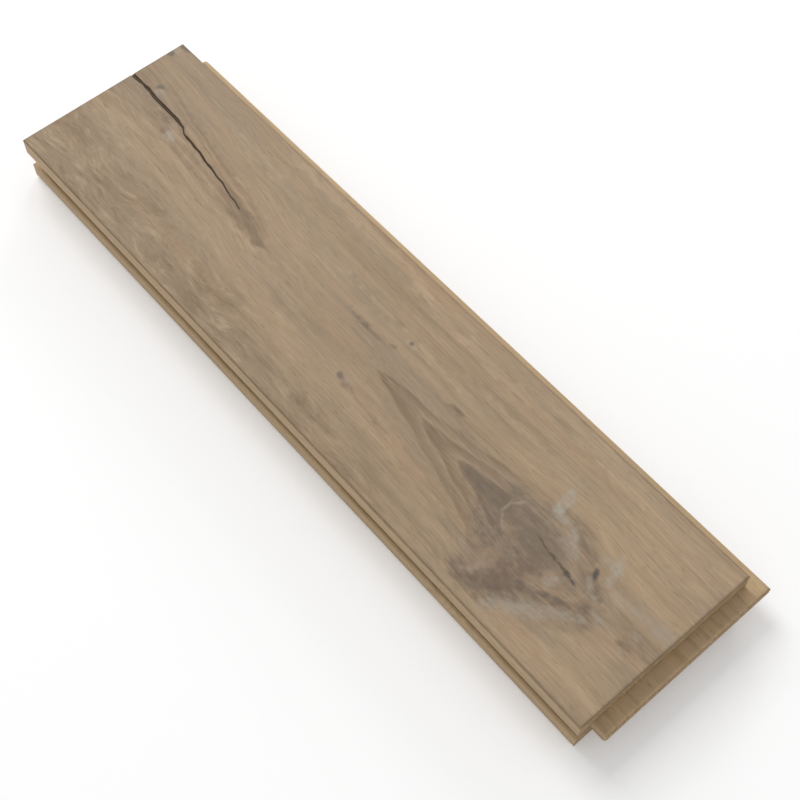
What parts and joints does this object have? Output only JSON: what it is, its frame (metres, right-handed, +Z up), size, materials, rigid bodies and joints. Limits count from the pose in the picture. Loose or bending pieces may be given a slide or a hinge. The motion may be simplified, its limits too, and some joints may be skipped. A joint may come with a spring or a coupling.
{
  "type": "parquet block",
  "caption": "Solid oak parquet block, rectangular, tongued and grooved all round, with relief cuts in the underside; one unit of a herringbone or strip floor.",
  "frame": {"origin": "on the underside, at the middle of the land between the relief cuts and below the centre of the wearing face (the face's own outline, without the tongues)", "axes": "+X along the grain towards the end tongue, +Y across the grain towards the long tongue, +Z up out of the wearing face"},
  "size_m": [0.2855, 0.0755, 0.02],
  "materials": {
    "oak": "matt oiled rustic oak, aged to a greyish tan"
  },
  "bodies": {
    "root": {"parquet_block": "oak"}
  },
  "joints": []
}
